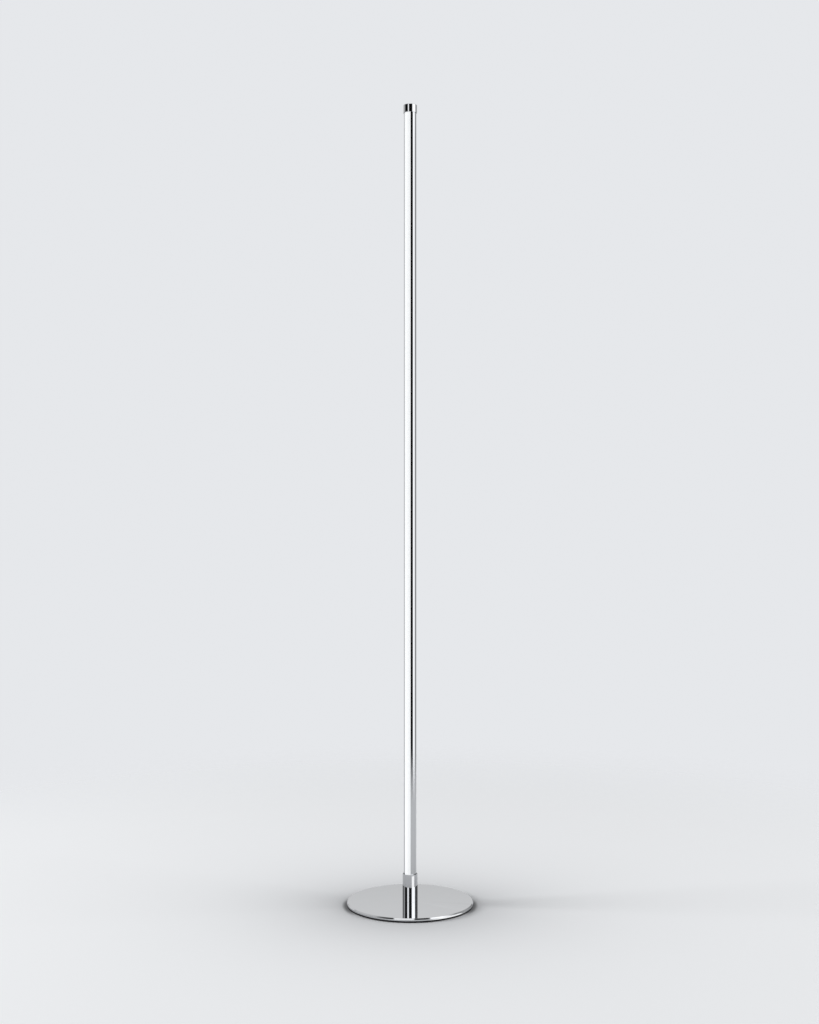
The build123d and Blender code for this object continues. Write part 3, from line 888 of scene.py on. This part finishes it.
# %% Socket
SOCKET_BORE = 12.05
SOCKET_FLOOR = 19.5
SOCKET_THREAD_END = 16.0
SOCKET_MOUTH = 0.9
SOCKET_SPLIT = 33.0
SOCKET_FOOT_ROUND = 0.15
SOCKET_LIP_ROUND = 0.25
SOCKET_MOUTH_ROUND = 0.12
SOCKET_THROAT_ROUND = 0.3
SOCKET_FLOOR_ROUND = 0.4

socket_low, socket_high = in_mm("socket")
socket_radius = socket_high.x
socket_top = socket_high.z
socket = turned(
    "socket_cup",
    [
        (0, SOCKET_THREAD_END, 0),
        (SCREW_HOLE, SOCKET_THREAD_END, 0),
        (SCREW_HOLE, socket_low.z, 0),
        (socket_radius, socket_low.z, SOCKET_FOOT_ROUND),
        (socket_radius, SOCKET_SPLIT, 0),
        (socket_radius, socket_top, SOCKET_LIP_ROUND),
        (SOCKET_BORE + SOCKET_MOUTH, socket_top, SOCKET_MOUTH_ROUND),
        (SOCKET_BORE, socket_top - SOCKET_MOUTH, SOCKET_THROAT_ROUND),
        (SOCKET_BORE, SOCKET_SPLIT, 0),
        (SOCKET_BORE, SOCKET_FLOOR, SOCKET_FLOOR_ROUND),
        (0, SOCKET_FLOOR, 0),
    ],
    "polished_chrome",
)
measure(socket)

# %% [markdown]
# The cord's hole goes through the socket's rear wall. A Boolean with a round cutter drills
# it, as a drill press would, and the same cutter makes the dowel's hole in the plate and in
# the socket's foot.

# %% Drill
DRILL_STEPS = 48


def cut_with(piece, cutter):
    """Takes the cutter's space away from a piece, then clears the cutter."""
    cut = piece.modifiers.new("cut", "BOOLEAN")
    cut.operation = "DIFFERENCE"
    cut.solver = "EXACT"
    cut.object = cutter
    settle(piece)
    bpy.data.objects.remove(cutter)


def drill(piece, radius, start, end):
    """Drills a round hole from one point to another, all in millimetres."""
    first = Vector(start) * MM
    last = Vector(end) * MM
    size = {"radius1": radius * MM, "radius2": radius * MM, "depth": (last - first).length}
    shape = bmesh.new()
    bmesh.ops.create_cone(shape, cap_ends=True, segments=DRILL_STEPS, **size)
    cutter = object_of("drill", shape)
    cutter.matrix_world = (last - first).to_track_quat("Z", "Y").to_matrix().to_4x4()
    cutter.location = (first + last) / 2
    cut_with(piece, cutter)


print("drill steps:", DRILL_STEPS)

# %% Drill holes
PIN_HOLE = 2.03
GLAND_NECK = 4.3
HOLE_PLAY = 0.03
DRILL_OVERRUN = 1
INSIDE_BORE = 5
OUTSIDE_WALL = 20

pin_low, pin_high = in_mm("locating_pin")
pin_x = (pin_low.x + pin_high.x) / 2
gland_low, gland_high = in_mm("cord_gland")
gland_z = (gland_low.z + gland_high.z) / 2
below_socket = socket_low.z - DRILL_OVERRUN
drill(plate, PIN_HOLE, (pin_x, 0, pin_low.z), (pin_x, 0, pin_high.z))
drill(socket, PIN_HOLE, (pin_x, 0, below_socket), (pin_x, 0, pin_high.z + HOLE_PLAY))
drill(socket, GLAND_NECK + HOLE_PLAY, (0, INSIDE_BORE, gland_z), (0, OUTSIDE_WALL, gland_z))
measure(plate)
measure(socket)

# %% [markdown]
# **Top cap.** A turned and polished cup, pressed over the end of the rod. It is a little wider
# than the rod, so it reads as a separate dark and bright band at the top.

# %% Top cap
CAP_BORE = 11.78
CAP_TOP = 2.5
CAP_MOUTH_ROUND = 0.1
CAP_EDGE_ROUND = 0.15
CAP_TOP_ROUND = 0.7

low, high = in_mm("top_cap")
cap = turned(
    "rod_cap",
    [
        (0, high.z - CAP_TOP, 0),
        (CAP_BORE, high.z - CAP_TOP, CAP_EDGE_ROUND),
        (CAP_BORE, low.z, CAP_MOUTH_ROUND),
        (high.x, low.z, CAP_EDGE_ROUND),
        (high.x, high.z, CAP_TOP_ROUND),
        (0, high.z, 0),
    ],
    "polished_chrome",
)
measure(cap)

# %% [markdown]
# ## Extruded pieces
# The rod is an aluminium extrusion: one section, drawn once, pushed through a die to the
# full length. The tree does the same: it fills the drawn section, holes included, pushes the
# face up by the length, and closes the lower end with a copy of the face turned over. The
# opal cover is extruded in plastic and uses the same tree.

# %% Extruding tree
extruding, given, extruding_ids = new_tree(
    "extruded_piece",
    {"Section": "Object", "Bottom": "Float", "Length": "Float", "Round Steps": "Int", "Finish": "Material"},
)
section = rounded_section(extruding, given)
face = add(extruding, "GeometryNodeFillCurve", {"mode": "TRIANGLES"}, Curve=section).outputs[0]
bottom = add(extruding, "ShaderNodeCombineXYZ", Z=given["Bottom"]).outputs[0]
lower = add(extruding, "GeometryNodeTransform", Geometry=face, Translation=bottom).outputs[0]
push = add(extruding, "ShaderNodeCombineXYZ", Z=given["Length"]).outputs[0]
walls = add(extruding, "GeometryNodeExtrudeMesh", Mesh=lower, Offset=push, Individual=False)
under = add(extruding, "GeometryNodeFlipFaces", Mesh=lower)
both = add(extruding, "GeometryNodeJoinGeometry")
extruding.links.new(walls.outputs["Mesh"], both.inputs[0])
extruding.links.new(under.outputs[0], both.inputs[0])
end_tree(extruding, shaded(extruding, both.outputs[0]), given["Finish"])


def extruded(name, loops, low, high, finish, steps=3):
    """Extruded piece from its section's loops of (x, y, rounding), between two heights."""
    drawing = drawn_curve(name + "_section", loops, True)
    values = {
        "Section": drawing,
        "Bottom": low * MM,
        "Length": (high - low) * MM,
        "Round Steps": steps,
        "Finish": finishes[finish],
    }
    return plain_mesh(name, extruding, extruding_ids, values, drawing)


print("extruding tree nodes:", len(extruding.nodes))

# %% [markdown]
# **Rod.** The section has a round outside, a channel for the light with a snap groove in each
# cheek, a shelf that carries the light strip, and two open ports that the foot's screws bite
# into. Each loop is walked corner by corner, and arcs are stepped finely enough for a mirror.
# Beside the slot lies a flat land on either side.

# %% Section of the rod
ROD_RADIUS = 11.75
SLOT_HALF = 5.7
CHANNEL_DEPTH = 8.0
CHANNEL_ROUND = 0.2
SNAP_RISE = 2.3
SNAP_HEIGHT = 1.3
SNAP_DEPTH = 0.5
LIP_ROUND = 0.12
LIP_LAND = 4.5
SKIN_STEPS = 84


def arc(centre_x, centre_y, radius, start, end, steps):
    """Points along an arc, angles in degrees."""
    angles = [math.radians(start + (end - start) * i / steps) for i in range(steps + 1)]
    return [(centre_x + radius * math.cos(a), centre_y + radius * math.sin(a), 0) for a in angles]


def flipped(outline):
    """Mirror image of an outline, left for right."""
    return [(-x, y, rounding) for x, y, rounding in outline]


def mirrored(half):
    """A half outline and its mirror image, which close a loop that is alike left and right."""
    return half + flipped(reversed(half))


shelf_front = CHANNEL_DEPTH - ROD_RADIUS
snap_low = shelf_front - SNAP_RISE - SNAP_HEIGHT / 2
snap_high = snap_low + SNAP_HEIGHT
snap_wall = SLOT_HALF + SNAP_DEPTH
lip_front = -math.sqrt(ROD_RADIUS**2 - SLOT_HALF**2)
lip_angle = math.degrees(math.acos(SLOT_HALF / ROD_RADIUS))
land_turn = math.degrees(2 * math.asin(LIP_LAND / 2 / ROD_RADIUS))
right_skin = [
    (SLOT_HALF, shelf_front, CHANNEL_ROUND),
    (SLOT_HALF, snap_high, 0),
    (snap_wall, snap_high, 0),
    (snap_wall, snap_low, 0),
    (SLOT_HALF, snap_low, 0),
    (SLOT_HALF, lip_front, LIP_ROUND),
    *arc(0, 0, ROD_RADIUS, land_turn - lip_angle, 90, SKIN_STEPS),
]
skin = mirrored(right_skin)
print("rod skin points:", len(skin))

# %% [markdown]
# Behind the shelf lies one large chamber, where the two screw ports stand out as round bosses
# with a gap. Beside the channel lies a small pocket on either side.

# %% Hollows of the rod
ROD_WALL = 1.4
SHELF = 1.3
PORT_RADIUS = 1.15
PORT_OUTER = 2.25
PORT_MERGE = 0.5
PORT_GAP = 1.1
GAP_TURN = 135
BOSS_FOOT_STEPS = 8
PORT_STEPS = 24
BOSS_TOP_STEPS = 6
CHAMBER_STEPS = 30

inner_radius = ROD_RADIUS - ROD_WALL
shelf_back = shelf_front + SHELF
port_y = shelf_back + PORT_OUTER - PORT_MERGE
port_reach = inner_radius - PORT_OUTER + PORT_MERGE
port_x = math.sqrt(port_reach**2 - port_y**2)
outer_gap = math.degrees(math.asin(PORT_GAP / 2 / PORT_OUTER))
inner_gap = math.degrees(math.asin(PORT_GAP / 2 / PORT_RADIUS))

boss_foot = 180 + math.degrees(math.asin((port_y - shelf_back) / PORT_OUTER))
cos_meet = (port_reach**2 + PORT_OUTER**2 - inner_radius**2) / (2 * port_reach * PORT_OUTER)
port_turn = math.degrees(math.atan2(port_y, port_x))
boss_top = port_turn + 180 - math.degrees(math.acos(cos_meet))
meet_x = port_x + PORT_OUTER * math.cos(math.radians(boss_top))
meet_y = port_y + PORT_OUTER * math.sin(math.radians(boss_top))
meet_turn = math.degrees(math.atan2(meet_y, meet_x))

chamber = [
    *arc(port_x, port_y, PORT_OUTER, boss_foot, GAP_TURN + outer_gap, BOSS_FOOT_STEPS),
    *arc(port_x, port_y, PORT_RADIUS, GAP_TURN + inner_gap, GAP_TURN + 360 - inner_gap, PORT_STEPS),
    *arc(port_x, port_y, PORT_OUTER, GAP_TURN - outer_gap, boss_top, BOSS_TOP_STEPS),
    *arc(0, 0, inner_radius, meet_turn, 90, CHAMBER_STEPS)[1:],
]
print("chamber points on one side:", len(chamber))

# %% Rod
CHEEK = 1.2
POCKET_STEPS = 10

pocket_x = SLOT_HALF + CHEEK
pocket_top = math.degrees(math.asin(shelf_front / inner_radius))
pocket_foot = -math.degrees(math.acos(pocket_x / inner_radius))
pocket = [(pocket_x, shelf_front, 0), *arc(0, 0, inner_radius, pocket_top, pocket_foot, POCKET_STEPS)]
rod_loops = [skin, mirrored(chamber), pocket, flipped(pocket)]

rod_low, rod_high = in_mm("light_profile")
rod = extruded("rod_profile", rod_loops, rod_low.z, rod_high.z, "chromed_profile")
measure(rod)

# %% [markdown]
# Near its foot the shelf has a notch where the two wires come forward to the light strip. A
# box cuts it out.

# %% Wire notch
NOTCH_WIDTH = 6.44
NOTCH_HEIGHT = 6.5


def box_shape(size, centre):
    """Drawn box of a size about a centre, in millimetres."""
    shape = bmesh.new()
    bmesh.ops.create_cube(shape, size=1)
    for corner in shape.verts:
        corner.co = (Vector(centre) + corner.co * Vector(size)) * MM
    return shape


notch_size = (NOTCH_WIDTH, 2 * SHELF, 2 * NOTCH_HEIGHT)
notch_centre = (0, shelf_front + SHELF / 2, rod_low.z)
cut_with(rod, object_of("notch", box_shape(notch_size, notch_centre)))
measure(rod)

# %% [markdown]
# **Opal cover.** It continues the rod's round outside across the slot and snaps into the
# cheeks with two barbed legs.

# %% Opal cover
COVER_RECESS = 0.1
COVER_WALL = 1.3
COVER_FIT = 0.05
COVER_LEG = 0.9
BARB_ROUND = 0.1
COVER_OUTER_STEPS = 24
COVER_INNER_STEPS = 16

cover_radius = ROD_RADIUS - COVER_RECESS
cover_inner = cover_radius - COVER_WALL
cover_half = SLOT_HALF - COVER_FIT
leg_inside = cover_half - COVER_LEG
outer_edge = math.degrees(math.asin(cover_half / cover_radius))
inner_edge = math.degrees(math.asin(leg_inside / cover_inner))
half_cover = [
    *arc(0, 0, cover_radius, -90, -90 + outer_edge, COVER_OUTER_STEPS),
    (cover_half, snap_low + COVER_FIT, 0),
    (cover_half + SNAP_DEPTH - COVER_FIT, snap_low + COVER_FIT, BARB_ROUND),
    (cover_half, snap_high - COVER_FIT, 0),
    (leg_inside, snap_high, BARB_ROUND),
    *arc(0, 0, cover_inner, -90 + inner_edge, -90, COVER_INNER_STEPS),
]
cover_loop = half_cover + flipped(reversed(half_cover[1:-1]))

cover_low, cover_high = in_mm("diffuser")
cover = extruded("opal_cover", [cover_loop], cover_low.z, cover_high.z, "opal_diffuser")
measure(cover)

# %% [markdown]
# ## The grommet
# The rubber grommet is turned as well, about the cord's axis, and then its flange and inner
# lip are bent to the curve of the socket's wall, as soft rubber does when it is pushed in.

# %% Grommet
GLAND_BORE = 2.8
GLAND_FLANGE = 5.5
GLAND_MOUTH_ROUND = 0.4
GLAND_LIP_ROUND = 0.3
GLAND_FLANGE_ROUND = 0.7
GLAND_SEAT_ROUND = 0.05

wall_outside = socket_radius + HOLE_PLAY
wall_inside = SOCKET_BORE - HOLE_PLAY
lip_end = gland_low.y
flange_end = gland_high.y
grommet = turned(
    "cord_grommet",
    [
        (GLAND_BORE, flange_end, GLAND_MOUTH_ROUND),
        (GLAND_BORE, lip_end, GLAND_LIP_ROUND),
        (GLAND_FLANGE, lip_end, GLAND_MOUTH_ROUND),
        (GLAND_FLANGE, wall_inside, GLAND_SEAT_ROUND),
        (GLAND_NECK, wall_inside, 0),
        (GLAND_NECK, wall_outside, 0),
        (GLAND_FLANGE, wall_outside, GLAND_SEAT_ROUND),
        (GLAND_FLANGE, flange_end, GLAND_FLANGE_ROUND),
    ],
    "black_rubber",
    cyclic=True,
    around=96,
    steps=5,
)
for corner in grommet.data.vertices:
    x, down, depth = corner.co / MM
    if depth > (wall_inside + wall_outside) / 2:
        wall = wall_outside
        share = (flange_end - depth) / (flange_end - wall_outside)
    else:
        wall = wall_inside
        share = (depth - lip_end) / (wall_inside - lip_end)
    bend = (math.sqrt(wall**2 - x**2) - wall) * min(max(share, 0), 1)
    corner.co = Vector((x, depth + bend, gland_z - down)) * MM
grommet.data.update()
measure(grommet)

# %% [markdown]
# ## Light sources along the strip
# The light sources and the resistors repeat at an even pitch, which is what instancing is
# for: one small piece, a line of points, one copy on each.

# %% Pattern tree
pattern, given, pattern_ids = new_tree(
    "along_strip",
    {"Piece": "Object", "Count": "Int", "First": "Vector", "Pitch": "Vector", "Finish": "Material"},
)
single = add(pattern, "GeometryNodeObjectInfo", Object=given["Piece"]).outputs["Geometry"]
places = {"Count": given["Count"], "Start_Location": given["First"], "Offset": given["Pitch"]}
line = add(pattern, "GeometryNodeMeshLine", **places).outputs[0]
copies = add(pattern, "GeometryNodeInstanceOnPoints", Points=line, Instance=single)
end_tree(pattern, copies.outputs[0], given["Finish"])


def repeated(name, single, count, first, pitch, finish):
    """Copies of one small piece up the strip, from a first place and at an even pitch."""
    values = {
        "Piece": single,
        "Count": count,
        "First": Vector(first) * MM,
        "Pitch": Vector((0, 0, pitch)) * MM,
        "Finish": finishes[finish],
    }
    return plain_mesh(name, pattern, pattern_ids, values, single)


def small_block(name, width, depth, length, edge):
    """Small block with broken edges, its back at y = 0 and its front towards -Y."""
    shape = box_shape((width, depth, length), (0, -depth / 2, 0))
    front = [e for e in shape.edges if all(v.co.y < -0.5 * depth * MM for v in e.verts)]
    bmesh.ops.bevel(shape, geom=front, offset=edge * MM, segments=1, affect="EDGES")
    return object_of(name, shape)


print("pattern tree nodes:", len(pattern.nodes))

# %% [markdown]
# Every light source is a white case with a round window of yellow phosphor. The windows are
# flat cones, half sunk in the cases, and make a piece of their own.

# %% Light sources
LED_PITCH = 16.667
LED_LENGTH = 3.5
CASE_EDGE = 0.12
WINDOW_RADIUS = 1.05
WINDOW_TAPER = 0.9
WINDOW_RISE = 0.04
WINDOW_STEPS = 20

led_low, led_high = in_mm("led_chips")
led_count = round((led_high.z - led_low.z - LED_LENGTH) / LED_PITCH) + 1
led_z = led_low.z + LED_LENGTH / 2
case = small_block("led_case", led_high.x - led_low.x, led_high.y - led_low.y, LED_LENGTH, CASE_EDGE)
cases = repeated("led_cases", case, led_count, (0, led_high.y, led_z), LED_PITCH, "led_case")

back = WINDOW_RADIUS * MM
cone = {"radius1": back, "radius2": WINDOW_TAPER * back, "depth": 2 * WINDOW_RISE * MM}
shape = bmesh.new()
bmesh.ops.create_cone(shape, cap_ends=True, segments=WINDOW_STEPS, **cone)
for corner in shape.verts:
    corner.co = Vector((corner.co.x, -corner.co.z, corner.co.y))
window = object_of("window", shape)
windows = repeated("led_windows", window, led_count, (0, led_low.y, led_z), LED_PITCH, "led_phosphor")
measure(cases)
measure(windows)

# %% [markdown]
# One resistor sets the current of each length that the strip may be cut into, so they stand
# six light sources apart.

# %% Resistors
LEDS_PER_CUT = 6
RESISTOR_LENGTH = 2.0
RESISTOR_EDGE = 0.08

res_low, res_high = in_mm("strip_resistors")
res_pitch = LED_PITCH * LEDS_PER_CUT
res_count = round((res_high.z - res_low.z - RESISTOR_LENGTH) / res_pitch) + 1
res_place = ((res_low.x + res_high.x) / 2, res_high.y, res_low.z + RESISTOR_LENGTH / 2)
res_size = (res_high.x - res_low.x, res_high.y - res_low.y, RESISTOR_LENGTH)
resistor = small_block("resistor", *res_size, RESISTOR_EDGE)
resistors = repeated("resistor_row", resistor, res_count, res_place, res_pitch, "resistor_black")
measure(resistors)

# %% [markdown]
# ## Hand over
# Each new piece rides on the body that carries it: the stand stays on the floor, the light
# rod turns in the socket. The engineering piece it stands for is hidden. The phosphor
# windows only go with the cases, which stand for the light sources.

# %% Ride and replace
STAND = [(plate, "base_plate"), (pad_ring, "floor_pad"), (socket, "socket"), (grommet, "cord_gland")]
ROD = [
    (rod, "light_profile"),
    (cover, "diffuser"),
    (cap, "top_cap"),
    (cases, "led_chips"),
    (resistors, "strip_resistors"),
]
for body, pieces in (("stand", STAND), ("light_rod", ROD)):
    for piece, node in pieces:
        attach(piece, body)
        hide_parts(node)
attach(windows, "light_rod")
print("new pieces:", len(STAND) + len(ROD) + 1)

# %% [markdown]
# The view transform stays plain, so a colour renders as it is written.

# %% Finish
scene.view_settings.view_transform = "Standard"
